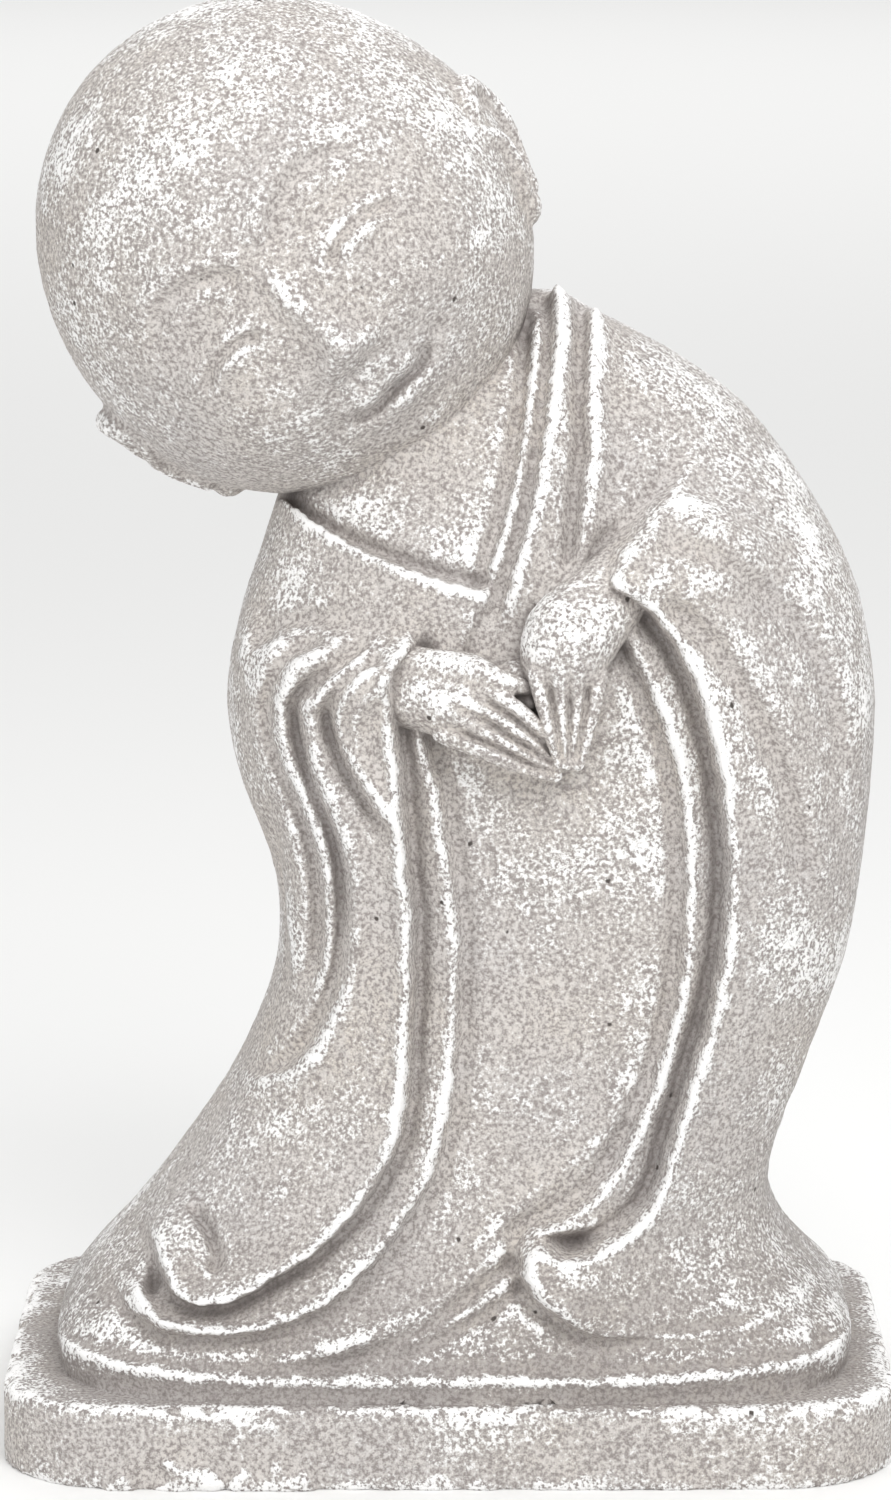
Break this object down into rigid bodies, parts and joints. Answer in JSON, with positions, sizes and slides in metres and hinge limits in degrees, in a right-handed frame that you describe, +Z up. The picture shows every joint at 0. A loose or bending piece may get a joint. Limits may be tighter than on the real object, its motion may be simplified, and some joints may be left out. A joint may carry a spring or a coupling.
{
  "type": "garden statue",
  "caption": "Cast stone monk who bows to one side with joined hands in a long robe, cast in one with a low plinth that rests on the ground.",
  "frame": {"origin": "middle of the plinth's underside, where the statue rests", "axes": "+Z up, the statue's front faces -Y, its left-hand side is at +X"},
  "size_m": [0.248, 0.166, 0.402],
  "materials": {
    "cast_stone": "rough, sandy, with a worn white wash on the raised parts"
  },
  "bodies": {
    "root": {"monk_statue": "cast_stone"}
  },
  "joints": []
}
